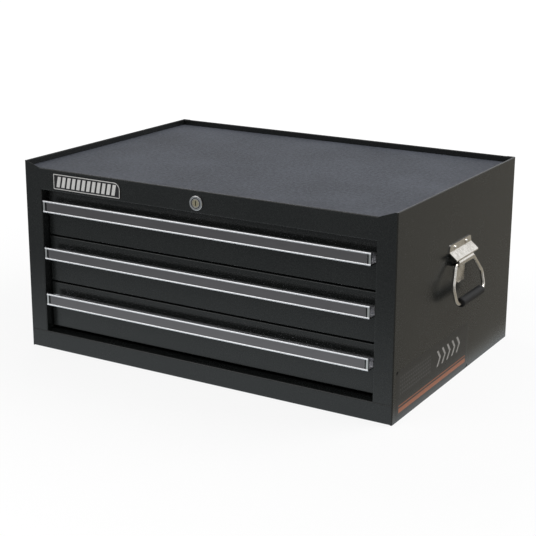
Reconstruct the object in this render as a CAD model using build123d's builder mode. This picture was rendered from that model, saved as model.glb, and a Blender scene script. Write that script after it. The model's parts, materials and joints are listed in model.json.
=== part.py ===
"""Three-drawer steel tool chest: folded cabinet, ball-bearing drawers, key lock and carrying handles.

Millimetres. X runs to the right, Y to the back and Z up. The origin is the middle of the
footprint, pulls and handles included, on the surface that the chest stands on.
"""

from build123d import *
import math
import os

os.makedirs("parts", exist_ok=True)

# ---------------------------------------------------------------- cabinet sizes
cabinet_width = 676.0
cabinet_depth = 460.0
cabinet_height = 320.0
sheet = 1.0                     # steel of the cabinet and the drawers
bend = 1.5                      # fold radius, to the middle of the sheet
bend_outside = bend + sheet / 2
hem_bend = 0.9                  # tight fold of a hem, to the middle of the sheet
hem_width = 3.0                 # a sheet edge folded back on itself
weld_flange = 12.0              # spot-welded edges inside the cabinet

stile_width = 32.8              # front uprights beside the drawers
stile_return = 18.0             # depth of the edge folded in beside the drawers
corner_strip = 3.0              # what the side panel leaves of the front below the stile
rear_flange = 15.0
header_drop = 9.5               # header's top edge below the cabinet's
header_height = 36.0
rail_top = 31.0                 # top of the bottom rail
front_flange = 22.0             # depth of the header's and the rail's folded edges
slant_start = 4.5               # where the stile's top edge begins to fall, from the side

mat_thickness = 2.0
mat_gap = 0.4
mat_corner = 3.0
mat_below_header = 0.3

# ---------------------------------------------------------------- drawer sizes
drawer_count = 3
drawer_gap = 2.5                # between one drawer front and the next
header_clearance = 0.7          # between the header and the top drawer front
rail_clearance = 6.2            # between the lowest drawer front and the bottom rail
face_recess = 14.5              # drawer fronts lie this far behind the stiles
face_side_clearance = 2.0
front_return = 8.0              # depth of the drawer front's folded edges
pan_rear_space = 37.5           # between the pan and the back panel
pan_lift = 5.0                  # pan's underside above the drawer front's lower edge
pan_drop = 10.2                 # pan's rim below the drawer front's upper edge
pan_hem = 6.0
liner_thickness = 1.5
liner_gap = 1.0

# ---------------------------------------------------------------- slide sizes
slide_thickness = 12.7          # space between the pan and the upright
slide_past_pan = 3.5            # cabinet slide's rear end behind the pan
slide_wall = 1.2
slide_bend = 1.6
slide_half_height = 16.9        # cabinet member, to the middle of its wall
slide_arm = 9.6                 # cabinet member, reach of its arms
slide_lip = 2.4
inner_half_height = 11.5        # drawer member, to the middle of its wall
inner_arm_end = 3.0             # drawer member's arms stop this far from the upright
slide_setback = 24.0            # slide's front end behind the stile faces
inner_setback = 2.0
slide_extension = 0.75          # share of its length that a slide opens
ball_radius = 1.8
ball_pocket_clearance = 0.05
ball_pitch = 26.0
ball_stations = 3
cage_wall = 0.6
cage_web = 2.1                  # cage's web, from the upright to its middle
cage_arm_end = 8.3
cage_length = 80.0

upright_width = 28.0            # hat-shaped uprights that carry the slides
upright_foot = 10.0
front_upright_offset = 21.0     # middle of the front upright behind the slide's front end
rear_upright_offset = 20.0      # middle of the rear upright ahead of the slide's rear end
upright_slot_width = 6.0
upright_slot_height = 14.0

# ---------------------------------------------------------------- pull sizes
pull_proud = 4.6                # pulls stand this far ahead of the stiles
pull_side_clearance = 6.0
pull_height = 20.0
pull_drop = 16.0                # top of the pull below the drawer front's top edge
pull_wall = 2.0
pull_bead = 1.5                 # radius of the bright beads
pull_leg_height = 15.0
insert_thickness = 0.7
end_clip_width = 6.0
end_clip_gap = 1.0

# ---------------------------------------------------------------- lock sizes
lock_below_header = 19.5        # lock's axis below the header's top edge
bezel_radius = 11.8
bezel_thickness = 3.0
bezel_edge = 1.2
barrel_radius = 9.5
barrel_length = 24.0
barrel_hole_clearance = 0.1
plug_radius = 6.2
plug_clearance = 0.05
plug_recess = 0.3
keyway_width = 1.6
keyway_height = 8.0
keyway_depth = 14.0
clip_thickness = 1.2
clip_groove = 1.2               # depth of the barrel's side grooves
clip_half_width = 14.0
clip_leg = 12.0
rod_radius = 2.0
rod_bend = 3.0
rod_clearance = 0.1
crank_radius = 10.0
crank_start_angle = 225.0       # crank's direction with the lock open, seen from the front
crank_slot_clearance = 0.75
hanger_width = 24.0
hanger_drop = 24.0
hanger_ahead = 25.0             # rod hanger ahead of the lock bar
bar_width = 30.0
bar_thickness = 2.0
bar_behind_pan = 20.0
bar_bottom = 40.0
bar_top_margin = 4.5
tab_width = 20.0
tab_length = 12.0
tab_lip = 8.0
tab_foot = 9.0                  # welded foot of the tab, up the pan's rear wall
tab_below_rim = 22.0
hook_behind_pan = 5.0
hook_below_tab = 16.0           # hook's tip below the tab with the lock open
hook_height = 9.0
hook_width = 12.0
hook_foot = 9.0                 # welded foot of the hook, down the bar
guide_height = 14.0
guide_clearance = 0.6
guide_foot = 12.0

# ---------------------------------------------------------------- handle sizes
handle_wall = 1.5
handle_drop = 92.0              # top of the bracket below the cabinet's top
handle_height = 68.0            # whole bracket
plate_height = 11.0             # from the bracket's top to where it leaves the side panel
hood_reach = 14.2               # hood's lip from the side panel, to the middle of its wall
hood_drop = 22.0                # hood's lip below the bracket's top
neck_reach = 10.6               # fold between the hood's lip and the curl round the wire
neck_drop = 25.4
pivot_drop = 31.5               # bail axis below the bracket's top
pivot_reach = 9.0               # bail axis from the side panel
wire_radius = 3.0
wire_clearance = 0.1
curl_shoulder = 2.7             # where the curl's face begins, above the bail axis
hood_half_width = 43.0
hood_top_half_width = 40.5
ear_drop = 23.2
curl_half_width = 29.0
foot_half_width = 20.0
bail_lean = 13.0                # degrees that the hanging bail stands off the side
bail_length = 58.0
bail_shoulder = 30.0
bail_half_width = 57.0
bail_foot_half_width = 55.0
bail_stub_start = 20.0
bail_stub_end = 34.5
grip_radius = 7.5
grip_half_length = 42.0
grip_bore_clearance = 0.05
rivet_radius = 2.4
rivet_hole_clearance = 0.05
rivet_head_radius = 3.5
rivet_head_height = 2.0
rivet_tail_height = 1.2
rivet_tail_radius = 3.6
rivet_spread = 22.0
rivet_drop = 6.7                # below the bracket's top

# ---------------------------------------------------------------- places that follow
y_front = (pull_proud - cabinet_depth) / 2
y_back = y_front + cabinet_depth
side_face = cabinet_width / 2
stile_inner = side_face - stile_width
seam_x = stile_inner + bend_outside
header_top = cabinet_height - header_drop
opening_top = header_top - header_height
lock_height = header_top - lock_below_header
mat_top = header_top - mat_below_header
top_level = mat_top - mat_thickness - sheet / 2
welded_x = side_face - 1.5 * sheet
back_inner = y_back - 2 * sheet
y_face = y_front + face_recess
face_half_width = stile_inner - face_side_clearance
drawer_stack = opening_top - header_clearance + drawer_gap - rail_clearance - rail_top
drawer_pitch = drawer_stack / drawer_count
face_height = drawer_pitch - drawer_gap
pan_half_width = stile_inner - slide_thickness
pan_front = y_face + sheet
pan_rear = back_inner - pan_rear_space
pan_length = pan_rear - pan_front
pan_height = face_height - pan_lift - pan_drop
slide_front = y_front + slide_setback
slide_rear = pan_rear + slide_past_pan
slide_length = slide_rear - slide_front
slide_travel = slide_extension * slide_length
inner_front = slide_front + inner_setback
inner_rear = slide_rear - inner_setback
cage_middle = (slide_front + inner_rear - slide_travel) / 2 + slide_travel / 2
ball_height = (slide_half_height + inner_half_height) / 2
ball_reach = (inner_arm_end + slide_arm - slide_wall / 2) / 2
pull_front = y_front - pull_proud
pull_half_length = stile_inner - pull_side_clearance
bar_front = pan_rear + bar_behind_pan
crank_y = bar_front - 3 * rod_radius
handle_y = (y_front + y_back) / 2
handle_top = cabinet_height - handle_drop
pivot_height = handle_top - pivot_drop
curl_radius = wire_radius + wire_clearance + handle_wall / 2
curl_reach = pivot_reach + curl_radius
curl_bottom = pivot_height - curl_radius
hands = (("left", -1), ("right", 1))


def face_top(row):
    """Height of the top edge of a drawer front; row 0 is the top drawer."""
    return opening_top - header_clearance - row * drawer_pitch


def pan_floor(row):
    """Height of the underside of a drawer's pan."""
    return face_top(row) - face_height + pan_lift


def slide_level(row):
    """Height of the middle of a drawer's slides."""
    return pan_floor(row) + pan_height / 2


def tab_level(row):
    """Height of the top of the locking tab behind a drawer."""
    return pan_floor(row) + pan_height - tab_below_rim


def finish(part, name):
    """Label a finished piece and write its file."""
    part.label = name
    export_step(part, f"parts/{name}.step")


# ================================================================ cabinet shell
rivet_places = [
    (handle_y - rivet_spread, handle_top - rivet_drop),
    (handle_y + rivet_spread, handle_top - rivet_drop),
]

for side, hand in hands:
    with BuildPart() as side_panel:
        # One sheet: stile return, stile, side and rear flange, seen from above.
        with BuildSketch(Plane.XY):
            with BuildLine():
                FilletPolyline(
                    (hand * (stile_inner + sheet / 2), y_front + stile_return),
                    (hand * (stile_inner + sheet / 2), y_front + sheet / 2),
                    (hand * (side_face - sheet / 2), y_front + sheet / 2),
                    (hand * (side_face - sheet / 2), y_back - sheet / 2),
                    (hand * (side_face - rear_flange), y_back - sheet / 2),
                    radius=bend,
                )
            trace(line_width=sheet)
        extrude(amount=cabinet_height)
        # The header and the bottom rail take the stile's place above and below the drawers.
        with BuildSketch(Plane.XZ.offset(-y_front + sheet)):
            with BuildLine():
                Polyline(
                    (hand * (stile_inner - sheet), opening_top),
                    (hand * seam_x, opening_top),
                    (hand * seam_x, header_top),
                    (hand * (side_face - slant_start), cabinet_height),
                    (hand * (side_face - slant_start), cabinet_height + sheet),
                    (hand * (stile_inner - sheet), cabinet_height + sheet),
                    close=True,
                )
            make_face()
            with BuildLine():
                Polyline(
                    (hand * (stile_inner - sheet), -sheet),
                    (hand * (side_face - corner_strip), -sheet),
                    (hand * (side_face - corner_strip), rail_top),
                    (hand * (stile_inner - sheet), rail_top),
                    close=True,
                )
            make_face()
        extrude(amount=-(stile_return + 2 * sheet), mode=Mode.SUBTRACT)
        # The top edge is folded inwards and down to the tray that holds the mat.
        straight = cabinet_depth - 2 * bend_outside
        with Locations((hand * side_face, handle_y, cabinet_height)):
            Box(2 * sheet, straight, 2 * hem_width, mode=Mode.SUBTRACT)
        with BuildSketch(Plane.XZ.offset(-(y_front + bend_outside))):
            with BuildLine():
                FilletPolyline(
                    (hand * (side_face - sheet / 2), cabinet_height - hem_width),
                    (hand * (side_face - sheet / 2), cabinet_height - sheet / 2),
                    (hand * (side_face - hem_width + sheet / 2), cabinet_height - sheet / 2),
                    (hand * (side_face - hem_width + sheet / 2), top_level + sheet / 2),
                    radius=hem_bend,
                )
            trace(line_width=sheet)
        extrude(amount=-straight)
        # Holes for the handle rivets.
        with BuildSketch(Plane.YZ.offset(hand * side_face)):
            with Locations(*rivet_places):
                Circle(rivet_radius + rivet_hole_clearance)
        extrude(amount=-hand * 2 * sheet, mode=Mode.SUBTRACT)
    finish(side_panel.part, f"side_panel_{side}")

with BuildPart() as back_panel:
    with BuildSketch(Plane.XY):
        with BuildLine():
            FilletPolyline(
                (-welded_x, back_inner - rear_flange),
                (-welded_x, back_inner + sheet / 2),
                (welded_x, back_inner + sheet / 2),
                (welded_x, back_inner - rear_flange),
                radius=bend,
            )
        trace(line_width=sheet)
    extrude(amount=cabinet_height - hem_width)
    # The side flanges stop below the top panel and above the bottom panel.
    upper_cut = cabinet_height - top_level + weld_flange + sheet
    lower_cut = weld_flange + sheet
    with Locations((0, back_inner, cabinet_height)):
        Box(cabinet_width, 2 * (rear_flange + sheet), 2 * upper_cut, mode=Mode.SUBTRACT)
    with Locations((0, back_inner, 0)):
        Box(cabinet_width, 2 * (rear_flange + sheet), 2 * lower_cut, mode=Mode.SUBTRACT)
    # Those stretches keep the flat sheet, which ends where the side panels' corners curve.
    with Locations((0, back_inner + sheet / 2, (cabinet_height - hem_width) / 2)):
        Box(2 * (side_face - bend_outside), sheet, cabinet_height - hem_width)
    with BuildSketch(Plane.YZ.offset(-(side_face - hem_width))):
        with BuildLine():
            FilletPolyline(
                (back_inner + sheet / 2, cabinet_height - hem_width),
                (back_inner + sheet / 2, cabinet_height - sheet / 2),
                (back_inner + 1.5 * sheet - hem_width, cabinet_height - sheet / 2),
                (back_inner + 1.5 * sheet - hem_width, top_level + sheet / 2),
                radius=hem_bend,
            )
        trace(line_width=sheet)
    extrude(amount=2 * (side_face - hem_width))
finish(back_panel.part, "back_panel")

with BuildPart() as bottom_panel:
    with BuildSketch(Plane.XZ.offset(-(y_front + front_flange))):
        with BuildLine():
            FilletPolyline(
                (-welded_x, weld_flange),
                (-welded_x, sheet / 2),
                (welded_x, sheet / 2),
                (welded_x, weld_flange),
                radius=bend,
            )
        trace(line_width=sheet)
    extrude(amount=-(back_inner - y_front - front_flange))
finish(bottom_panel.part, "bottom_panel")

with BuildPart() as top_panel:
    top_front = y_front + hem_width + hem_bend
    with BuildSketch(Plane.XZ.offset(-top_front)):
        with BuildLine():
            FilletPolyline(
                (-welded_x, top_level - weld_flange),
                (-welded_x, top_level),
                (welded_x, top_level),
                (welded_x, top_level - weld_flange),
                radius=bend,
            )
        trace(line_width=sheet)
    extrude(amount=-(back_inner - top_front))
finish(top_panel.part, "top_panel")

with BuildPart() as header_rail:
    # Section from the folded edge over the drawers, up the face, over the hem and under the top.
    with BuildSketch(Plane.YZ.offset(-seam_x)):
        with BuildLine():
            FilletPolyline(
                (y_front + front_flange, opening_top + sheet / 2),
                (y_front + sheet / 2, opening_top + sheet / 2),
                (y_front + sheet / 2, header_top - sheet / 2),
                (y_front + hem_width - sheet / 2, header_top - sheet / 2),
                (y_front + hem_width - sheet / 2, top_level - sheet),
                (y_front + front_flange, top_level - sheet),
                radius=(bend, hem_bend, hem_bend, hem_bend),
            )
        trace(line_width=sheet)
    extrude(amount=2 * seam_x)
    # Tabs welded behind the stiles.
    tab_bottom = opening_top + 2 * bend_outside
    tab_height = top_level - 3 * sheet - tab_bottom
    for hand in (-1, 1):
        with Locations((hand * seam_x, y_front + 1.5 * sheet, tab_bottom + tab_height / 2)):
            Box(stile_width, sheet, tab_height)
    with BuildSketch(Plane.XZ.offset(-y_front + sheet)):
        with Locations((0, lock_height)):
            Circle(barrel_radius + barrel_hole_clearance)
    extrude(amount=-3 * sheet, mode=Mode.SUBTRACT)
finish(header_rail.part, "header_rail")

with BuildPart() as bottom_rail:
    with BuildSketch(Plane.YZ.offset(-(side_face - corner_strip))):
        with BuildLine():
            FilletPolyline(
                (y_front + front_flange, rail_top - sheet / 2),
                (y_front + sheet / 2, rail_top - sheet / 2),
                (y_front + sheet / 2, sheet / 2),
                (y_front + front_flange, sheet / 2),
                radius=bend,
            )
        trace(line_width=sheet)
    extrude(amount=2 * (side_face - corner_strip))
finish(bottom_rail.part, "bottom_rail")

with BuildPart() as top_mat:
    mat_front = y_front + hem_width + mat_gap
    mat_back = back_inner + sheet - hem_width - mat_gap
    with BuildSketch(Plane.XY.offset(mat_top - mat_thickness)):
        with Locations((0, (mat_front + mat_back) / 2)):
            RectangleRounded(
                2 * (side_face - hem_width - mat_gap), mat_back - mat_front, mat_corner
            )
    extrude(amount=mat_thickness)
finish(top_mat.part, "top_mat")

# ================================================================ slides
upright_places = {
    "front": slide_front + front_upright_offset,
    "rear": slide_rear - rear_upright_offset,
}
upright_bottom = weld_flange + sheet
upright_top = top_level - weld_flange - sheet

for side, hand in hands:
    for place, middle in upright_places.items():
        with BuildPart() as upright:
            with BuildSketch(Plane.XY.offset(upright_bottom)):
                with BuildLine():
                    FilletPolyline(
                        (hand * welded_x, middle - upright_width / 2 - upright_foot),
                        (hand * welded_x, middle - upright_width / 2),
                        (hand * (stile_inner + sheet / 2), middle - upright_width / 2),
                        (hand * (stile_inner + sheet / 2), middle + upright_width / 2),
                        (hand * welded_x, middle + upright_width / 2),
                        (hand * welded_x, middle + upright_width / 2 + upright_foot),
                        radius=bend,
                    )
                trace(line_width=sheet)
            extrude(amount=upright_top - upright_bottom)
            # Slots that the slides hook into.
            with BuildSketch(Plane.YZ.offset(hand * (stile_inner - sheet))):
                with Locations(*[(middle, slide_level(row)) for row in range(drawer_count)]):
                    SlotOverall(upright_slot_height, upright_slot_width, rotation=90)
            extrude(amount=hand * 3 * sheet, mode=Mode.SUBTRACT)
        finish(upright.part, f"slide_upright_{place}_{side}")

for row in range(drawer_count):
    level = slide_level(row)
    for side, hand in hands:
        with BuildPart() as cabinet_slide:
            with BuildSketch(Plane.XZ.offset(-slide_front)):
                with BuildLine():
                    FilletPolyline(
                        (hand * (stile_inner - slide_arm), level + slide_half_height - slide_lip),
                        (hand * (stile_inner - slide_arm), level + slide_half_height),
                        (hand * (stile_inner - slide_wall / 2), level + slide_half_height),
                        (hand * (stile_inner - slide_wall / 2), level - slide_half_height),
                        (hand * (stile_inner - slide_arm), level - slide_half_height),
                        (hand * (stile_inner - slide_arm), level - slide_half_height + slide_lip),
                        radius=slide_bend,
                    )
                trace(line_width=slide_wall)
            extrude(amount=-slide_length)
        finish(cabinet_slide.part, f"cabinet_slide_{side}_{row + 1}")

        with BuildPart() as drawer_slide:
            with BuildSketch(Plane.XZ.offset(-inner_front)):
                with BuildLine():
                    web = stile_inner - slide_thickness + slide_wall / 2
                    FilletPolyline(
                        (hand * (stile_inner - inner_arm_end), level + inner_half_height),
                        (hand * web, level + inner_half_height),
                        (hand * web, level - inner_half_height),
                        (hand * (stile_inner - inner_arm_end), level - inner_half_height),
                        radius=slide_bend,
                    )
                trace(line_width=slide_wall)
            extrude(amount=-(inner_rear - inner_front))
        finish(drawer_slide.part, f"drawer_slide_{side}_{row + 1}")

    ball_rows = [
        (hand * (stile_inner - ball_reach), cage_middle + (station - (ball_stations - 1) / 2) * ball_pitch)
        for _, hand in hands
        for station in range(ball_stations)
    ]
    with BuildPart() as ball_cages:
        for _, hand in hands:
            with BuildSketch(Plane.XZ.offset(-(cage_middle - cage_length / 2))):
                with BuildLine():
                    FilletPolyline(
                        (hand * (stile_inner - cage_arm_end), level + ball_height),
                        (hand * (stile_inner - cage_web), level + ball_height),
                        (hand * (stile_inner - cage_web), level - ball_height),
                        (hand * (stile_inner - cage_arm_end), level - ball_height),
                        radius=slide_bend,
                    )
                trace(line_width=cage_wall)
            extrude(amount=-cage_length)
        # Pockets in the cage's arms, each with its ball.
        with BuildSketch(Plane.XY.offset(level - ball_height - cage_wall)):
            with Locations(*ball_rows):
                Circle(ball_radius + ball_pocket_clearance)
        extrude(amount=2 * (ball_height + cage_wall), mode=Mode.SUBTRACT)
        for height in (level - ball_height, level + ball_height):
            with Locations(*[(x, y, height) for x, y in ball_rows]):
                Sphere(ball_radius)
    finish(ball_cages.part, f"ball_cages_{row + 1}")

# ================================================================ drawers
for row in range(drawer_count):
    number = row + 1
    top = face_top(row)
    floor = pan_floor(row)

    with BuildPart() as drawer_front:
        with BuildSketch(Plane.XZ.offset(-y_face)):
            with Locations((0, top - face_height / 2)):
                Rectangle(2 * face_half_width, face_height)
        extrude(amount=-front_return)
        fillet(drawer_front.edges().group_by(Axis.Y)[0], radius=bend)
        rear = drawer_front.faces().sort_by(Axis.Y)[-1]
        offset(amount=-sheet, openings=rear)
    finish(drawer_front.part, f"drawer_front_{number}")

    with BuildPart() as drawer_pan:
        with BuildSketch(Plane.XY.offset(floor)):
            with Locations((0, (pan_front + pan_rear) / 2)):
                Rectangle(2 * pan_half_width, pan_length)
        extrude(amount=pan_height)
        fillet(drawer_pan.edges().group_by(Axis.Z)[0].filter_by(Axis.Y), radius=bend_outside)
        offset(amount=-sheet, openings=drawer_pan.faces().sort_by(Axis.Z)[-1])
        # Hemmed rim, folded inwards round the top.
        with BuildSketch(Plane.XY.offset(floor + pan_height - pan_hem)):
            with Locations((0, (pan_front + pan_rear) / 2)):
                Rectangle(2 * pan_half_width, pan_length)
                Rectangle(
                    2 * (pan_half_width - 2 * sheet), pan_length - 4 * sheet, mode=Mode.SUBTRACT
                )
        extrude(amount=pan_hem)
    # Locking tab welded behind the pan, with its foot turned up and its lip turned down.
    with BuildPart() as pan_tab:
        with BuildSketch(Plane.YZ.offset(-tab_width / 2)):
            with BuildLine():
                FilletPolyline(
                    (pan_rear + sheet / 2, tab_level(row) + tab_foot),
                    (pan_rear + sheet / 2, tab_level(row) - sheet / 2),
                    (pan_rear + tab_length - sheet / 2, tab_level(row) - sheet / 2),
                    (pan_rear + tab_length - sheet / 2, tab_level(row) - tab_lip),
                    radius=bend,
                )
            trace(line_width=sheet)
        extrude(amount=tab_width)
    finish(Compound([drawer_pan.part, pan_tab.part]), f"drawer_pan_{number}")

    with BuildPart() as drawer_liner:
        with BuildSketch(Plane.XY.offset(floor + sheet)):
            with Locations((0, (pan_front + pan_rear) / 2)):
                RectangleRounded(
                    2 * (pan_half_width - 2 * sheet - liner_gap),
                    pan_length - 2 * (2 * sheet + liner_gap),
                    mat_corner,
                )
        extrude(amount=liner_thickness)
    finish(drawer_liner.part, f"drawer_liner_{number}")

    # The pull is one extrusion: leg on the drawer front, floor, and face with two beads.
    pull_top = top - pull_drop
    pull_bottom = pull_top - pull_height
    bead_y = pull_front + pull_bead
    plate_back = bead_y + pull_wall
    channel_back = bead_y - pull_bead + 1.2
    with BuildPart() as drawer_pull:
        with BuildSketch(Plane.YZ.offset(-pull_half_length)):
            with BuildLine():
                FilletPolyline(
                    (y_face - pull_wall / 2, pull_bottom + pull_leg_height),
                    (y_face - pull_wall / 2, pull_bottom + pull_wall / 2),
                    (plate_back - pull_wall / 2, pull_bottom + pull_wall / 2),
                    (plate_back - pull_wall / 2, pull_top - pull_bead),
                    radius=pull_wall / 2 + 0.5,
                )
            trace(line_width=pull_wall)
            with Locations((bead_y, pull_top - pull_bead), (bead_y, pull_bottom + pull_bead)):
                Circle(pull_bead)
            with Locations(
                (plate_back - pull_bead, pull_top - pull_bead),
                (plate_back - pull_bead, pull_bottom + pull_bead),
            ):
                Circle(pull_bead)
                Rectangle(pull_wall, 2 * pull_bead)
        extrude(amount=2 * pull_half_length)
    finish(drawer_pull.part, f"drawer_pull_{number}")

    insert_face = plate_back - pull_wall
    insert_height = pull_height - 4 * pull_bead
    insert_half_length = pull_half_length - end_clip_width - end_clip_gap
    middle_height = (pull_top + pull_bottom) / 2
    with BuildPart() as pull_insert:
        with BuildSketch(Plane.XZ.offset(-insert_face)):
            with Locations((0, middle_height)):
                Rectangle(2 * insert_half_length, insert_height)
        extrude(amount=insert_thickness)
    finish(pull_insert.part, f"pull_insert_{number}")

    with BuildPart() as pull_end_clips:
        clip_middle = pull_half_length - end_clip_width / 2
        with BuildSketch(Plane.XZ.offset(-insert_face)):
            with Locations((-clip_middle, middle_height), (clip_middle, middle_height)):
                Rectangle(end_clip_width, insert_height)
        extrude(amount=insert_thickness + 0.2)
    finish(pull_end_clips.part, f"pull_end_clips_{number}")

# ================================================================ lock
bezel_front = y_front - bezel_thickness
barrel_rear = y_front + barrel_length
clip_front = y_front + sheet

with BuildPart() as lock_barrel:
    with BuildSketch(Plane.XZ.offset(-y_front)):
        with Locations((0, lock_height)):
            Circle(bezel_radius)
    extrude(amount=bezel_thickness)
    fillet(lock_barrel.edges().group_by(Axis.Y)[0], radius=bezel_edge)
    with BuildSketch(Plane.XZ.offset(-y_front)):
        with Locations((0, lock_height)):
            Circle(barrel_radius)
    extrude(amount=-barrel_length)
    # Grooves for the clip, on both sides.
    with Locations(
        (-barrel_radius, clip_front + clip_thickness / 2, lock_height),
        (barrel_radius, clip_front + clip_thickness / 2, lock_height),
    ):
        Box(2 * clip_groove, clip_thickness, 2 * barrel_radius, mode=Mode.SUBTRACT)
    with BuildSketch(Plane.XZ.offset(-bezel_front)):
        with Locations((0, lock_height)):
            Circle(plug_radius + plug_clearance)
    extrude(amount=-(bezel_thickness + barrel_length), mode=Mode.SUBTRACT)
finish(lock_barrel.part, "lock_barrel")

with BuildPart() as lock_clip:
    with BuildSketch(Plane.XZ.offset(-clip_front)):
        with Locations((0, lock_height)):
            Rectangle(2 * clip_half_width, 2 * clip_leg)
            Rectangle(2 * (barrel_radius - clip_groove), 2 * (clip_leg + sheet), mode=Mode.SUBTRACT)
        with BuildLine():
            Polyline(
                (-clip_half_width, lock_height + clip_leg),
                (clip_half_width, lock_height + clip_leg),
                (clip_half_width, lock_height + clip_leg - sheet),
                (-clip_half_width, lock_height + clip_leg - sheet),
                close=True,
            )
        make_face()
    extrude(amount=-clip_thickness)
finish(lock_clip.part, "lock_clip")

with BuildPart() as lock_plug:
    with BuildSketch(Plane.XZ.offset(-(bezel_front + plug_recess))):
        with Locations((0, lock_height)):
            Circle(plug_radius)
    extrude(amount=-(barrel_rear - bezel_front - plug_recess))
    with BuildSketch(Plane.XZ.offset(-(bezel_front + plug_recess))):
        with Locations((0, lock_height)):
            SlotOverall(keyway_height, keyway_width, rotation=90)
    extrude(amount=-keyway_depth, mode=Mode.SUBTRACT)
finish(lock_plug.part, "lock_plug")

crank_direction = math.radians(crank_start_angle)
crank_x = crank_radius * math.cos(crank_direction)
crank_z = lock_height + crank_radius * math.sin(crank_direction)

with BuildPart() as lock_rod:
    with BuildLine() as rod_path:
        FilletPolyline(
            (0, barrel_rear, lock_height),
            (0, crank_y, lock_height),
            (crank_x, crank_y, crank_z),
            (crank_x, bar_front + 2 * bar_thickness, crank_z),
            radius=rod_bend,
        )
    with BuildSketch(Plane(origin=rod_path.line @ 0, z_dir=rod_path.line % 0)):
        Circle(rod_radius)
    sweep()
finish(lock_rod.part, "lock_rod")

with BuildPart() as rod_hanger:
    hanger_y = bar_front - hanger_ahead
    top_underside = top_level - sheet / 2
    with BuildSketch(Plane.YZ.offset(-hanger_width / 2)):
        with BuildLine():
            FilletPolyline(
                (hanger_y + weld_flange, top_underside - sheet / 2),
                (hanger_y, top_underside - sheet / 2),
                (hanger_y, top_underside - hanger_drop),
                radius=bend,
            )
        trace(line_width=sheet)
    extrude(amount=hanger_width)
    with BuildSketch(Plane.XZ.offset(-(hanger_y - sheet))):
        with Locations((0, lock_height)):
            Circle(rod_radius + rod_clearance)
    extrude(amount=-2 * sheet, mode=Mode.SUBTRACT)
finish(rod_hanger.part, "rod_hanger")

slot_left = -crank_radius - rod_radius - crank_slot_clearance
slot_right = crank_x + rod_radius + crank_slot_clearance
slot_height = 2 * (rod_radius + crank_slot_clearance)
bar_top = crank_z + slot_height / 2 + bar_top_margin

with BuildPart() as lock_bar:
    with BuildSketch(Plane.XZ.offset(-bar_front)):
        with Locations((0, (bar_bottom + bar_top) / 2)):
            Rectangle(bar_width, bar_top - bar_bottom)
        with Locations(((slot_left + slot_right) / 2, crank_z)):
            Rectangle(slot_right - slot_left, slot_height, mode=Mode.SUBTRACT)
    extrude(amount=-bar_thickness)

# One hook for each drawer, welded to the bar and turned up behind the drawer's tab.
with BuildPart() as bar_hooks:
    hook_y = pan_rear + hook_behind_pan + bar_thickness / 2
    for row in range(drawer_count):
        hook_tip = tab_level(row) - hook_below_tab
        hook_floor = hook_tip - hook_height + bar_thickness / 2
        with BuildSketch(Plane.YZ.offset(-hook_width / 2)):
            with BuildLine():
                FilletPolyline(
                    (bar_front - bar_thickness / 2, hook_floor - hook_foot),
                    (bar_front - bar_thickness / 2, hook_floor),
                    (hook_y, hook_floor),
                    (hook_y, hook_tip),
                    radius=bend,
                )
            trace(line_width=bar_thickness)
        extrude(amount=hook_width)
finish(Compound([lock_bar.part, bar_hooks.part]), "lock_bar")

with BuildPart() as lock_bar_guides:
    strap_x = bar_width / 2 + guide_clearance + sheet / 2
    strap_y = bar_front - guide_clearance - sheet / 2
    for row in range(1, drawer_count):
        guide_bottom = tab_level(row) + hook_below_tab
        with BuildSketch(Plane.XY.offset(guide_bottom)):
            with BuildLine():
                FilletPolyline(
                    (-strap_x - guide_foot, back_inner - sheet / 2),
                    (-strap_x, back_inner - sheet / 2),
                    (-strap_x, strap_y),
                    (strap_x, strap_y),
                    (strap_x, back_inner - sheet / 2),
                    (strap_x + guide_foot, back_inner - sheet / 2),
                    radius=bend,
                )
            trace(line_width=sheet)
        extrude(amount=guide_height)
finish(lock_bar_guides.part, "lock_bar_guides")

# ================================================================ handles
lean = math.radians(bail_lean)
blank_outline = [
    (hood_top_half_width, handle_top),
    (hood_half_width, handle_top - plate_height),
    (hood_half_width, handle_top - ear_drop),
    (curl_half_width, handle_top - neck_drop),
    (curl_half_width, curl_bottom),
    (foot_half_width, curl_bottom - 3 * handle_wall),
    (foot_half_width, handle_top - handle_height),
]

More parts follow.
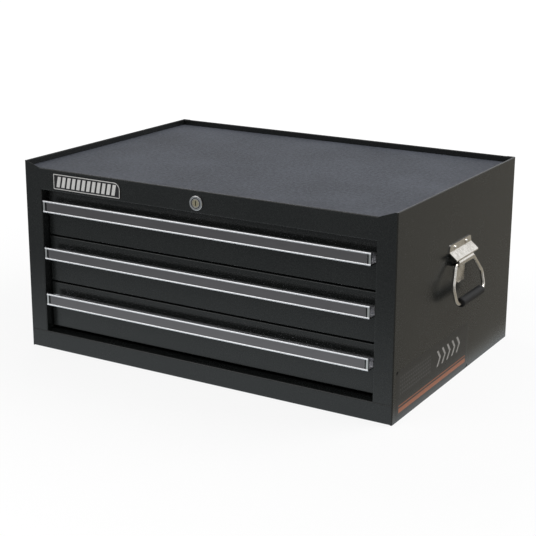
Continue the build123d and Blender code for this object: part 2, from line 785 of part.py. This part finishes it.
for side, hand in hands:

    def outward(reach):
        """X of a point that stands this far off the side panel."""
        return hand * (side_face + reach)

    def on_bail(across, down):
        """Point of the hanging bail: across from its middle, and down from its axis."""
        return (
            outward(pivot_reach + down * math.sin(lean)),
            handle_y + across,
            pivot_height - down * math.cos(lean),
        )

    with BuildPart() as handle_bracket:
        # Folded section: flange on the side, hood with its lip, curl round the bail wire and foot.
        with BuildSketch(Plane.XZ.offset(-(handle_y - hood_half_width))):
            with BuildLine():
                FilletPolyline(
                    (outward(handle_wall / 2), handle_top),
                    (outward(handle_wall / 2), handle_top - plate_height),
                    (outward(hood_reach), handle_top - hood_drop),
                    (outward(neck_reach), handle_top - neck_drop),
                    (outward(curl_reach), pivot_height + curl_shoulder),
                    (outward(curl_reach), curl_bottom),
                    (outward(handle_wall / 2), curl_bottom),
                    (outward(handle_wall / 2), handle_top - handle_height),
                    radius=(bend, bend, handle_wall, curl_radius, curl_radius, bend),
                )
            trace(line_width=handle_wall)
        extrude(amount=-2 * hood_half_width)
        # Outline of the blank that the bracket is folded from.
        with BuildSketch(Plane.YZ.offset(outward(0))):
            with BuildLine():
                right_edge = [(handle_y + across, height) for across, height in blank_outline]
                left_edge = [(handle_y - across, height) for across, height in reversed(blank_outline)]
                Polyline(*right_edge, *left_edge, close=True)
            make_face()
            fillet(vertices().group_by(Axis.Y)[-1], radius=3 * handle_wall)
            fillet(vertices().group_by(Axis.Y)[0], radius=2 * handle_wall)
        extrude(amount=hand * 2 * hood_reach, mode=Mode.INTERSECT)
        with BuildSketch(Plane.YZ.offset(outward(0))):
            with Locations(*rivet_places):
                Circle(rivet_radius + rivet_hole_clearance)
        extrude(amount=hand * 2 * handle_wall, mode=Mode.SUBTRACT)
    finish(handle_bracket.part, f"handle_bracket_{side}")

    with BuildPart() as handle_bail:
        with BuildLine() as wire_path:
            FilletPolyline(
                on_bail(-bail_stub_start, 0),
                on_bail(-bail_stub_end, 0),
                on_bail(-bail_half_width, bail_shoulder),
                on_bail(-bail_foot_half_width, bail_length),
                on_bail(bail_foot_half_width, bail_length),
                on_bail(bail_half_width, bail_shoulder),
                on_bail(bail_stub_end, 0),
                on_bail(bail_stub_start, 0),
                radius=(
                    2 * wire_radius,
                    4 * wire_radius,
                    4 * wire_radius,
                    4 * wire_radius,
                    4 * wire_radius,
                    2 * wire_radius,
                ),
            )
        with BuildSketch(Plane(origin=wire_path.line @ 0, z_dir=wire_path.line % 0)):
            Circle(wire_radius)
        sweep()
    finish(handle_bail.part, f"handle_bail_{side}")

    with BuildPart() as handle_grip:
        grip_x, _, grip_z = on_bail(0, bail_length)
        with BuildSketch(Plane.XZ.offset(-(handle_y - grip_half_length))):
            with Locations((grip_x, grip_z)):
                Circle(grip_radius)
                Circle(wire_radius + grip_bore_clearance, mode=Mode.SUBTRACT)
        extrude(amount=-2 * grip_half_length)
        ends = handle_grip.edges().filter_by(GeomType.CIRCLE).sort_by(lambda edge: edge.radius)[-2:]
        fillet(ends, radius=wire_radius)
    finish(handle_grip.part, f"handle_grip_{side}")

    with BuildPart() as handle_rivets:
        with BuildSketch(Plane.YZ.offset(outward(-sheet))):
            with Locations(*rivet_places):
                Circle(rivet_radius)
        extrude(amount=hand * (sheet + handle_wall))
        with BuildSketch(Plane.YZ.offset(outward(handle_wall))):
            with Locations(*rivet_places):
                Circle(rivet_head_radius)
        extrude(amount=hand * rivet_head_height)
        outer = Axis((0, 0, 0), (hand, 0, 0))
        fillet(handle_rivets.edges().group_by(outer)[-1], radius=rivet_head_height - 0.2)
        with BuildSketch(Plane.YZ.offset(outward(-sheet))):
            with Locations(*rivet_places):
                Circle(rivet_tail_radius)
        extrude(amount=-hand * rivet_tail_height)
    finish(handle_rivets.part, f"handle_rivets_{side}")
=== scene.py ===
"""Looks of the three-drawer steel tool chest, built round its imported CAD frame.

Metres. X runs to the right, Y to the back and Z up. The sections follow the chest as it is put
together: painted steel, drawers, slides, mat, pulls, lock, handles, badge plate and side transfer,
and then the floor, the lights and the camera.
"""

import json
import math

import bpy
import numpy as np
from mathutils import Matrix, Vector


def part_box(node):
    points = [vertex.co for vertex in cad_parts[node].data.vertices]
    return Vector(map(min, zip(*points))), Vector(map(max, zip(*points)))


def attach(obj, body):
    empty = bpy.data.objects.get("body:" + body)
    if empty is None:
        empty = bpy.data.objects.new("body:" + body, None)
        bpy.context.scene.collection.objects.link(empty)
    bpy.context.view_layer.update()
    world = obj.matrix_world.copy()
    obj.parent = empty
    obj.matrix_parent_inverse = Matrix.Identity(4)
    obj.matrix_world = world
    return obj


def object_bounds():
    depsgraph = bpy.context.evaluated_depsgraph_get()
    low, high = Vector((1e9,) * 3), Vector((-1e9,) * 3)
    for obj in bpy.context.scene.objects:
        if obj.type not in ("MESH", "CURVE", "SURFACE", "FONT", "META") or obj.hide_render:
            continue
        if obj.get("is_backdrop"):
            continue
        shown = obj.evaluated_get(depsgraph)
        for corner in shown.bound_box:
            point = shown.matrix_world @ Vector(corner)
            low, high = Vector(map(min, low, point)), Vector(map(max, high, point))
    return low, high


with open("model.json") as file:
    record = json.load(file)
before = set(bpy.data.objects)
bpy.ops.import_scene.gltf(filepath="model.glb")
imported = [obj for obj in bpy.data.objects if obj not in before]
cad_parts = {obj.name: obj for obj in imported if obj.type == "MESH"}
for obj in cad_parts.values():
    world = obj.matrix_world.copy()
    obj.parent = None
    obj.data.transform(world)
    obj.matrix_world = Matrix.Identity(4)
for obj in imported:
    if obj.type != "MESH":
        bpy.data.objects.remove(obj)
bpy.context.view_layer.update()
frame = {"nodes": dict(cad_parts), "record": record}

# ---------------------------------------------------------------- painted cabinet
# Folded and spot-welded sheet steel, powder coated black after welding. The coat is semi-gloss,
# with a slight orange peel and a fine grain, and it lies a little thinner and duller in places.


class Field:
    """A shader socket that varies over a surface. Arithmetic on it adds Math nodes."""

    def __init__(self, nodes, socket):
        self.nodes = nodes
        self.socket = socket

    def math(self, operation, *others):
        values = {place: value for place, value in enumerate((self, *others))}
        return self.nodes.node("ShaderNodeMath", {"operation": operation}, values)

    def __add__(self, other):
        return self.math("ADD", other)

    def __sub__(self, other):
        return self.math("SUBTRACT", other)

    def __mul__(self, other):
        return self.math("MULTIPLY", other)

    def __truediv__(self, other):
        return self.math("DIVIDE", other)

    def __rsub__(self, other):
        return (self * -1.0) + other

    __radd__ = __add__
    __rmul__ = __mul__

    def __abs__(self):
        return self.math("ABSOLUTE")

    def __mod__(self, other):
        return self.math("FLOORED_MODULO", other)

    def most(self, other):
        return self.math("MAXIMUM", other)

    def step(self, edge, width):
        """0 below the edge and 1 above it, over a ramp of this width."""
        ramp = (self - (edge - width / 2)) / width
        return ramp.most(0.0).math("MINIMUM", 1.0)


class Nodes:
    """The node tree of a material or of the world."""

    def __init__(self, tree):
        self.tree = tree

    def plug(self, socket, value):
        if isinstance(value, Field):
            self.tree.links.new(value.socket, socket)
        else:
            socket.default_value = value

    def node(self, kind, settings=None, values=None, output=0):
        """Adds one node: its settings first, then the values or links of its sockets."""
        made = self.tree.nodes.new(kind)
        for setting, value in (settings or {}).items():
            setattr(made, setting, value)
        for socket, value in (values or {}).items():
            self.plug(made.inputs[socket], value)
        return Field(self, made.outputs[output])

    def place(self, output="Object"):
        """X, Y and Z of the surface in metres, or of the view's direction."""
        point = self.node("ShaderNodeTexCoord", output=output)
        return [self.node("ShaderNodeSeparateXYZ", {}, {0: point}, axis) for axis in range(3)]

    def noise(self, scale, detail=2.0, roughness=0.5, stretch=(1.0, 1.0, 1.0)):
        """Noise from 0 to 1 with this many cells to the metre, stretched along each axis."""
        point = self.node("ShaderNodeTexCoord", output="Object")
        point = self.node("ShaderNodeMapping", {}, {"Vector": point, "Scale": stretch})
        values = {"Vector": point, "Scale": scale, "Detail": detail, "Roughness": roughness}
        return self.node("ShaderNodeTexNoise", {}, values)

    def blend(self, amount, low, high):
        """A colour that goes from low to high as the amount goes from 0 to 1."""
        values = {"Factor": amount, 6: low, 7: high}
        return self.node("ShaderNodeMix", {"data_type": "RGBA"}, values, 2)


class Finish(Nodes):
    """A procedural material: its nodes, and one Principled shader with the constant sockets set."""

    def __init__(self, name, **constants):
        self.material = bpy.data.materials.new(name)
        self.material.use_nodes = True
        super().__init__(self.material.node_tree)
        self.shader = self.tree.nodes["Principled BSDF"]
        for socket, value in constants.items():
            self.shader.inputs[socket.replace("_", " ")].default_value = value

    def surface(self, colour, roughness, height, depth):
        """Joins the varying inputs to the shader; height is a relief of this depth in metres."""
        relief = self.node("ShaderNodeBump", {}, {"Distance": depth, "Height": height})
        self.plug(self.shader.inputs["Base Color"], colour)
        self.plug(self.shader.inputs["Roughness"], roughness)
        self.plug(self.shader.inputs["Normal"], relief)
        return self

    def dress(self, slot):
        """Puts the finish on every CAD node that the record gives this material slot."""
        for part in frame["record"]["subparts"]:
            if part["material_slot"] == slot:
                mesh = frame["nodes"][part["node"]].data
                mesh.materials.clear()
                mesh.materials.append(self.material)


def powder_coat(name, thin, thick):
    """Black powder coat: colour between two tones, orange peel and fine grain."""
    coat = Finish(name, IOR=1.46)
    cloud = coat.noise(7.0, 3.0)
    grain = coat.noise(560.0, 3.0, 0.65)
    peel = coat.noise(330.0, 1.0)
    colour = coat.blend(cloud * 0.4 + grain.step(0.5, 0.36) * 0.6, thin, thick)
    roughness = 0.16 + cloud * 0.10 + grain * 0.10
    return coat.surface(colour, roughness, peel * 0.6 + grain * 0.4, 0.00008)


cabinet_coat = powder_coat("cabinet_coat", (0.0058, 0.0068, 0.0069, 1), (0.0172, 0.0186, 0.0182, 1))
cabinet_coat.dress("cabinet_paint")

# ---------------------------------------------------------------- drawers
# Fronts and pans are the same black coat. The fronts are pressed sheet, spot-welded to the pans,
# which are folded boxes with a hemmed rim. A foam liner lies loose in each pan.

drawer_coat = powder_coat("drawer_coat", (0.0060, 0.0071, 0.0071, 1), (0.0176, 0.0192, 0.0186, 1))
drawer_coat.dress("drawer_paint")

foam = Finish("liner_foam", IOR=1.4)
foam_cells = foam.node("ShaderNodeTexVoronoi", {}, {"Scale": 900.0})
foam.surface(
    foam.blend(foam_cells, (0.016, 0.016, 0.017, 1), (0.032, 0.032, 0.034, 1)),
    0.86 + foam.noise(40.0) * 0.1,
    foam_cells,
    0.0004,
)
foam.dress("drawer_liner")

# ---------------------------------------------------------------- slides
# Roll-formed steel with bright zinc plate, drawn lengthwise in the mill, with a film of grease
# that dulls it in streaks. The cages and their balls share the finish.


def zinc_plate(name, tone, dull):
    """Bright zinc: fine lines along Y, and broad streaks where it has dulled."""
    zinc = Finish(name, Metallic=1.0)
    lines = zinc.noise(900.0, 2.0, 0.5, (1.0, 0.03, 1.0))
    streaks = zinc.noise(30.0, 4.0, 0.6, (1.0, 0.2, 1.0))
    roughness = 0.22 + lines * 0.16 + streaks * 0.1
    return zinc.surface(zinc.blend(streaks, dull, tone), roughness, lines, 0.00003)


zinc_plate("slide_zinc", (0.62, 0.63, 0.64, 1), (0.44, 0.45, 0.45, 1)).dress("slide_steel")
zinc_plate("lock_zinc", (0.60, 0.59, 0.55, 1), (0.42, 0.41, 0.37, 1)).dress("lock_steel")

# ---------------------------------------------------------------- top mat
# Grey sheet of soft vinyl, cut to the tray and laid in loose. Its face is embossed with a fine
# pebble, and handling has left it slightly cloudy.

vinyl = Finish("mat_vinyl", IOR=1.42)
pebble = vinyl.node("ShaderNodeTexVoronoi", {"feature": "SMOOTH_F1"}, {"Scale": 520.0})
scuffs = vinyl.noise(9.0, 5.0, 0.62)
mottle = vinyl.noise(190.0, 4.0, 0.65)
speckle = vinyl.noise(420.0, 2.0, 0.6)
mixture = scuffs * 0.3 + mottle * 0.5 + speckle * 0.2
vinyl.surface(
    vinyl.blend(mixture.step(0.5, 0.22), (0.023, 0.027, 0.037, 1), (0.080, 0.088, 0.108, 1)),
    0.62 + scuffs * 0.16,
    pebble + speckle * 0.4,
    0.00035,
)
vinyl.dress("top_mat")

# ---------------------------------------------------------------- drawer pulls
# Extruded aluminium, polished and bright anodised, as wide as the drawer. A satin grey strip
# slides into the face between two bright beads. A small end piece closes it on each side; its
# inner edge, where it meets the strip, is painted black as the shadow in the gap there.

bright = Finish("pull_bright", Metallic=1.0)
die_lines = bright.noise(1400.0, 2.0, 0.5, (0.02, 1.0, 1.0))
bright.surface(
    bright.blend(bright.noise(12.0), (0.80, 0.80, 0.82, 1), (0.90, 0.90, 0.92, 1)),
    0.16 + die_lines * 0.14,
    die_lines,
    0.00002,
)
bright.dress("pull_aluminium")

satin = Finish("insert_satin", Metallic=1.0)
brushing = satin.noise(1800.0, 3.0, 0.6, (0.02, 1.0, 1.0))
shading = brushing * 0.6 + satin.noise(10.0) * 0.4
satin.surface(
    satin.blend(shading, (0.150, 0.142, 0.145, 1), (0.250, 0.238, 0.243, 1)),
    0.34 + brushing * 0.14,
    brushing,
    0.00002,
)
satin.dress("pull_insert")

end_piece = Finish("end_piece_satin_and_painted_gap", Metallic=1.0)
end_grain = end_piece.noise(900.0, 3.0, 0.6)
end_x, _, _ = end_piece.place()
# Inward of this edge the end piece is painted black: painted shadow of the gap at the strip.
painted_gap_edge = 0.2957
end_metal = end_piece.blend(end_grain, (0.52, 0.52, 0.51, 1), (0.66, 0.66, 0.65, 1))
end_piece.surface(
    end_piece.blend(abs(end_x).step(painted_gap_edge, 0.0004), (0.03, 0.03, 0.03, 1), end_metal),
    0.30 + end_grain * 0.14,
    end_grain,
    0.00003,
)
end_piece.dress("pull_end_clip")

# ---------------------------------------------------------------- lock
# Die-cast barrel with chrome plate, held from behind by a spring clip. The plug is brass under
# worn nickel, turned on its face.


def chrome_plate(name, tone, haze):
    """Chrome: nearly mirror bright, with a light haze and tiny pits in the plate."""
    plate = Finish(name, Metallic=1.0)
    mist = plate.noise(110.0, 4.0, 0.62).step(0.5, 0.34)
    pits = plate.noise(1600.0, 1.0).step(0.66, 0.06)
    colour = plate.blend(mist * 0.6 + pits * 0.4, tone, haze)
    return plate.surface(colour, 0.06 + mist * 0.16, pits, -0.00003)


chrome_plate("bright_chrome", (0.86, 0.84, 0.80, 1), (0.58, 0.54, 0.48, 1)).dress("chrome")

barrel = Finish("barrel_chrome", Metallic=1.0)
barrel_low, barrel_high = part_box("lock_barrel")
lock_z = (barrel_low.z + barrel_high.z) / 2
barrel_x, _, barrel_z = barrel.place()
from_axis = (barrel_x * barrel_x + (barrel_z - lock_z) * (barrel_z - lock_z)).math("SQRT")
# A ring groove in the face, made by bump only; its near-black colour is painted shade in the groove.
shaded_groove = from_axis.step(0.0070, 0.0004) * (1 - from_axis.step(0.0084, 0.0004))
barrel_mist = barrel.noise(60.0, 4.0, 0.6)
barrel_metal = barrel.blend(barrel_mist, (0.74, 0.74, 0.76, 1), (0.55, 0.53, 0.52, 1))
barrel.surface(
    barrel.blend(shaded_groove, barrel_metal, (0.05, 0.04, 0.04, 1)),
    0.10 + barrel_mist * 0.10 + shaded_groove * 0.3,
    shaded_groove,
    -0.0006,
)
frame["nodes"]["lock_barrel"].data.materials.clear()
frame["nodes"]["lock_barrel"].data.materials.append(barrel.material)

brass = Finish("plug_brass", Metallic=1.0)
wear = brass.noise(500.0, 4.0, 0.6)
brass.surface(
    brass.blend(wear, (0.62, 0.50, 0.26, 1), (0.72, 0.68, 0.58, 1)),
    0.20 + wear * 0.2,
    wear,
    0.00004,
)
brass.dress("lock_brass")

# ---------------------------------------------------------------- handle grips
# Black thermoplastic moulded over the middle of the steel bail, with a fine spark-eroded grain.

moulded = Finish("grip_plastic", IOR=1.36)
moulded_grain = moulded.noise(1300.0, 3.0, 0.6)
moulded.surface(
    moulded.blend(moulded_grain, (0.0034, 0.0038, 0.0046, 1), (0.0080, 0.0086, 0.0100, 1)),
    0.50 + moulded_grain * 0.14,
    moulded_grain,
    0.0001,
)
moulded.dress("grip")

# ---------------------------------------------------------------- badge plate
# Thin moulded plate stuck on the header at the left, with one round corner at the top right. It
# is dark, with a raised silver border and a row of plain silver bars.

plate_left, plate_right = -0.2777, -0.1442
plate_bottom, plate_top = 0.2790, 0.3045
plate_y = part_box("header_rail")[0].y
corner_steps = 12


def plate_outline(inset, height):
    """One loop of the plate: a rectangle with one large corner, at the top right, drawn in by the
    inset, at this height off the header. Each corner is a quarter circle of its own radius."""
    radii = np.array([0.0012, 0.0026, 0.0110, 0.0012]) - inset
    radii = np.maximum(radii, 0.0003)
    left, right = plate_left + inset, plate_right - inset
    bottom, top = plate_bottom + inset, plate_top - inset
    centre_x = np.array([left, right, right, left]) + radii * np.array([1, -1, -1, 1])
    centre_z = np.array([bottom, bottom, top, top]) + radii * np.array([1, 1, -1, -1])
    start = np.radians([180.0, 270.0, 0.0, 90.0])
    quarter = np.linspace(0.0, math.pi / 2, corner_steps)
    angle = start[:, None] + quarter[None, :]
    x = centre_x[:, None] + radii[:, None] * np.cos(angle)
    z = centre_z[:, None] + radii[:, None] * np.sin(angle)
    y = np.full_like(x, plate_y - height)
    return np.stack([x, y, z], axis=-1).reshape(-1, 3)


def loops_mesh(name, stacks, capped):
    """Skin over stacks of closed loops, an array (stack, ring, step, xyz): each vertex joins its
    neighbours along its own ring and on the next one. A capped stack ends in one flat face;
    otherwise its last ring joins its first one, as in a frame."""
    stacks = np.asarray(stacks)
    count, rings, steps, _ = stacks.shape
    first = np.arange(count)[:, None, None] * rings
    band = np.arange(rings - 1 if capped else rings)[None, :, None]
    step = np.arange(steps)[None, None, :]
    here, beyond = (first + band) * steps, (first + (band + 1) % rings) * steps
    turned = (step + 1) % steps
    faces = np.stack([here + step, here + turned, beyond + turned, beyond + step], axis=-1)
    faces = faces.reshape(-1, 4).tolist()
    if capped:
        faces += ((first.reshape(-1, 1) + rings - 1) * steps + np.arange(steps)).tolist()
    mesh = bpy.data.meshes.new(name)
    mesh.from_pydata(stacks.reshape(-1, 3).tolist(), [], faces)
    mesh.validate()
    piece = bpy.data.objects.new(name, mesh)
    bpy.context.scene.collection.objects.link(piece)
    return piece


def stuck_on(piece, finish):
    """Gives a finish to a piece that is fixed to the cabinet."""
    piece.data.materials.append(finish.material)
    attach(piece, "cabinet")


base_profile = ((0, 0), (0, 0.0008), (0.0003, 0.0010), (0.0020, 0.0010))
border_profile = (
    (0.0003, 0.0009),
    (0.0003, 0.0013),
    (0.0006, 0.0016),
    (0.0012, 0.0016),
    (0.0015, 0.0013),
    (0.0015, 0.0009),
)
base_loops = [[plate_outline(*point) for point in base_profile]]
border_loops = [[plate_outline(*point) for point in border_profile]]
badge_base = loops_mesh("badge_base", base_loops, capped=True)
badge_border = loops_mesh("badge_border", border_loops, capped=False)

# Twelve equal bars leaning to the right stand on the plate: corner offsets times width and height.
bar_count, bar_width, bar_height, bar_lean = 12, 0.0064, 0.0176, 0.0036
bar_middles = np.linspace(plate_left + 0.0110, plate_right - 0.0120, bar_count)
bar_levels = np.array([(0.0, 0.0009), (0.0, 0.0013), (0.0003, 0.0016)])
corner_x, corner_z = np.array([-0.5, 0.5, 0.5, -0.5]), np.array([-0.5, -0.5, 0.5, 0.5])
inset = bar_levels[None, :, None, 0]
bar_x = corner_x * (bar_width - 2 * inset) + corner_z * bar_lean + bar_middles[:, None, None]
bar_z = corner_z * (bar_height - 2 * inset) + (plate_bottom + plate_top) / 2
bar_y = plate_y - bar_levels[None, :, None, 1]
bar_loops = np.stack(np.broadcast_arrays(bar_x, bar_y, bar_z), axis=-1)
badge_bars = loops_mesh("badge_bars", bar_loops, capped=True)

badge_dark = Finish("badge_dark", IOR=1.45)
badge_grain = badge_dark.noise(900.0)
badge_dark.surface(
    badge_dark.blend(badge_grain, (0.010, 0.010, 0.012, 1), (0.022, 0.022, 0.024, 1)),
    0.35 + badge_grain * 0.1,
    badge_grain,
    0.00005,
)
badge_silver = Finish("badge_silver", Metallic=0.35)
badge_lines = badge_silver.noise(2200.0, 3.0, 0.6, (0.03, 1.0, 1.0))
badge_silver.surface(
    badge_silver.blend(badge_lines, (0.70, 0.69, 0.67, 1), (0.86, 0.85, 0.83, 1)),
    0.28 + badge_lines * 0.14,
    badge_lines,
    0.00003,
)
stuck_on(badge_base, badge_dark)
stuck_on(badge_border, badge_silver)
stuck_on(badge_bars, badge_silver)

# ---------------------------------------------------------------- side transfer
# Thin printed film on the right side panel, low at the front. Its ground is nearly black, with two
# orange stripes along the bottom, and over them a field of grey dots and a row of pale chevrons.

film_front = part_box("side_panel_right")[0].y + 0.0110
film_length, film_height, film_lift = 0.2720, 0.0780, 0.0012
film_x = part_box("side_panel_right")[1].x
film_thickness = 0.00012


def film_mesh(name):
    """Flat grid over the film's length and height, bent back to the panel round its edge: the
    height off the panel falls from the film's thickness to nothing over the outermost cells."""
    along = np.linspace(0.0, 1.0, 41)
    up = np.linspace(0.0, 1.0, 15)
    s, t = np.meshgrid(along, up, indexing="ij")
    edge = np.minimum(np.minimum(s, 1 - s) * 40, np.minimum(t, 1 - t) * 14)
    x = film_x + film_thickness * np.clip(edge, 0.0, 1.0)
    y, z = film_front + s * film_length, film_lift + t * film_height
    points = np.stack([x, y, z], axis=-1).reshape(-1, 3)
    column, row = np.meshgrid(np.arange(40), np.arange(14), indexing="ij")
    first = (column * 15 + row).ravel()
    faces = np.stack([first, first + 15, first + 16, first + 1], axis=-1).tolist()
    mesh = bpy.data.meshes.new(name)
    mesh.from_pydata(points.tolist(), [], faces)
    piece = bpy.data.objects.new(name, mesh)
    bpy.context.scene.collection.objects.link(piece)
    return piece


film = Finish("side_film", IOR=1.44)
_, film_y, film_z = film.place()
behind = film_y - film_front
up = film_z - film_lift
soft = 0.0006


def between(field, low, high, width=soft):
    """1 where the field lies between the two edges and 0 elsewhere."""
    return field.step(low, width) * (1 - field.step(high, width))


stripes = between(up, 0.0110, 0.0180).most(between(up, 0.0210, 0.0226))
stripes = stripes * between(behind, 0.0100, 0.2620)
dot_pitch, dot_radius = 0.0062, 0.0017
dot_y, dot_z = behind % dot_pitch - dot_pitch / 2, up % dot_pitch - dot_pitch / 2
dots = 1 - (dot_y * dot_y + dot_z * dot_z).math("SQRT").step(dot_radius, soft)
dots = dots * between(behind, 0.0124, 0.1240) * between(up, 0.0372, 0.0682)
point = behind + abs(up - 0.0520) * 0.8
chevrons = between(point % 0.0190, 0.0040, 0.0100) * between(point, 0.1520, 0.2470)
chevrons = chevrons * between(up, 0.0390, 0.0650)
print_wear = film.noise(700.0, 3.0, 0.6)
ground = film.blend(print_wear, (0.008, 0.009, 0.010, 1), (0.017, 0.018, 0.019, 1))
inked = film.blend(dots * 0.70, ground, (0.080, 0.082, 0.084, 1))
inked = film.blend(chevrons * 0.80, inked, (0.360, 0.350, 0.335, 1))
inked = film.blend(stripes * 0.90, inked, (0.330, 0.100, 0.038, 1))
film.surface(inked, 0.24 + print_wear * 0.10, print_wear, 0.00003)
side_transfer = film_mesh("side_transfer")
stuck_on(side_transfer, film)

# ---------------------------------------------------------------- floor and background
# A plain pale sweep. What the camera sees of it is white, and the floor keeps the chest's soft
# shadow. What glossy and clear surfaces see of it is a painted reflection: bright near the chest,
# falling away from it, and dimmer and warm to its right.

floor_size = 30.0
floor_drop = 0.0002
floor_mesh = bpy.data.meshes.new("studio_floor")
floor_mesh.from_pydata(
    [(x * floor_size, y * floor_size, -floor_drop) for x, y in ((-1, -1), (1, -1), (1, 1), (-1, 1))],
    [],
    [(0, 1, 2, 3)],
)
studio_floor = bpy.data.objects.new("studio_floor", floor_mesh)
bpy.context.scene.collection.objects.link(studio_floor)
studio_floor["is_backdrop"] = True


def ray_kinds(nodes):
    """1 on the camera's own rays, and 1 on rays that a surface has mirrored or let through."""
    straight = nodes.node("ShaderNodeLightPath", output="Is Camera Ray")
    glossy = nodes.node("ShaderNodeLightPath", output="Is Glossy Ray")
    return straight, glossy.most(nodes.node("ShaderNodeLightPath", output="Is Transmission Ray"))


sweep = Finish("floor_paint", Roughness=1.0, Specular_IOR_Level=0.0, Emission_Strength=1.0)
seen, mirrored = ray_kinds(sweep)
floor_x, floor_y, _ = sweep.place()
_, chest_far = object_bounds()
aside = (abs(floor_x) - chest_far[0]).most(0.0)
ahead = (abs(floor_y) - chest_far[1]).most(0.0)
away = (aside * aside + ahead * ahead).math("SQRT")
shadow_share = 0.12
white_share = seen * (1 - shadow_share + away.step(0.9, 1.4) * shadow_share)
# Painted reflection: the glow that glossy surfaces see is 0.90 next to the chest, falls to 0.28 half a
# metre away, and is 0.30 and warm to the right of the chest.
to_right = floor_x.step(0.352, 0.03)
painted_reflection_fall_off = (0.90 - away.step(0.30, 0.50) * 0.62) * (1 - to_right) + to_right * 0.30
painted_reflection_tint = sweep.blend(to_right, (0.93, 1.00, 1.03, 1), (1.06, 0.99, 0.84, 1))
pale = sweep.blend(mirrored, (1, 1, 1, 1), painted_reflection_tint)
unlit = seen.most(mirrored) * (1 - seen * shadow_share)
paint = sweep.blend(unlit, (0.85, 0.85, 0.85, 1), (0, 0, 0, 1))
glow = sweep.blend(white_share + mirrored * painted_reflection_fall_off, (0, 0, 0, 1), pale)
sweep.plug(sweep.shader.inputs["Base Color"], paint)
sweep.plug(sweep.shader.inputs["Emission Color"], glow)
floor_mesh.materials.append(sweep.material)

world = bpy.data.worlds.new("studio")
bpy.context.scene.world = world
world.use_nodes = True
sky = Nodes(world.node_tree)
seen, mirrored = ray_kinds(sky)
_, rearward, height = sky.place("Generated")
backdrop = rearward.step(0.15, 0.30) * (1 - height.step(0.47, 0.06))
overhead = 0.26 + height.step(0.70, 0.3) * 0.45 + backdrop * 0.66
strength = 0.55 + seen * 0.45 + mirrored * (overhead - 0.55)
sky.plug(world.node_tree.nodes["Background"].inputs["Color"], (1, 1, 1, 1))
sky.plug(world.node_tree.nodes["Background"].inputs["Strength"], strength)

# ---------------------------------------------------------------- lamps
# A large soft lamp high on the right and behind, which throws the handle's shadow forwards, a
# weaker one at the front left that opens the recesses, and a small one behind for the top hem.

target = np.array([0.0, 0.0, 0.16])


def soft_lamp(name, place, size, power):
    """Square area lamp at this place, turned towards the middle of the chest."""
    data = bpy.data.lights.new(name, "AREA")
    data.size = size
    data.energy = power
    lamp = bpy.data.objects.new(name, data)
    back = np.array(place) - target
    back /= np.linalg.norm(back)
    right = np.cross((0.0, 0.0, 1.0), back)
    right /= np.linalg.norm(right)
    upward = np.cross(back, right)
    pose = np.eye(4)
    pose[:3, 0], pose[:3, 1], pose[:3, 2], pose[:3, 3] = right, upward, back, place
    lamp.matrix_world = Matrix(pose.tolist())
    bpy.context.scene.collection.objects.link(lamp)


soft_lamp("key_lamp", (1.3, 0.7, 1.9), 1.2, 26.0)
soft_lamp("fill_lamp", (-1.2, -1.9, 1.4), 1.6, 12.0)
soft_lamp("rim_lamp", (-1.1, 0.7, 2.1), 0.7, 5.0)

# ---------------------------------------------------------------- camera
# Placed by fitting the chest's corners in the photograph: turned 29.5 degrees to the right of
# the front, 15.8 degrees above level, 2.26 m away, with the frame's middle off the lens's axis.

turn, climb, roll = math.radians(29.5102), math.radians(15.7504), math.radians(0.5882)
distance, camera_aside, camera_above = 2.256166, 0.041758, 0.153048
fit_offset = 0.0023
focal_pixels, frame_pixels = 1305.350, 536.0
axis_x, axis_y = 296.972, 251.597

back = np.array([math.sin(turn) * math.cos(climb), -math.cos(turn) * math.cos(climb), math.sin(climb)])
level_right = np.array([math.cos(turn), math.sin(turn), 0.0])
level_up = np.cross(back, level_right)
right = math.cos(roll) * level_right + math.sin(roll) * level_up
upward = math.cos(roll) * level_up - math.sin(roll) * level_right
station = camera_aside * right + camera_above * upward + distance * back
station += np.array([0.0, fit_offset, 0.0])
camera_data = bpy.data.cameras.new("camera")
camera_data.sensor_width = 36.0
camera_data.lens = focal_pixels / frame_pixels * camera_data.sensor_width
camera_data.shift_x = (frame_pixels / 2 - axis_x) / frame_pixels
camera_data.shift_y = (axis_y - frame_pixels / 2) / frame_pixels
camera = bpy.data.objects.new("camera", camera_data)
camera_pose = np.eye(4)
camera_pose[:3, :4] = np.column_stack([right, upward, back, station])
camera.matrix_world = Matrix(camera_pose.tolist())
bpy.context.scene.collection.objects.link(camera)
bpy.context.scene.camera = camera
bpy.context.scene.view_settings.view_transform = "Standard"
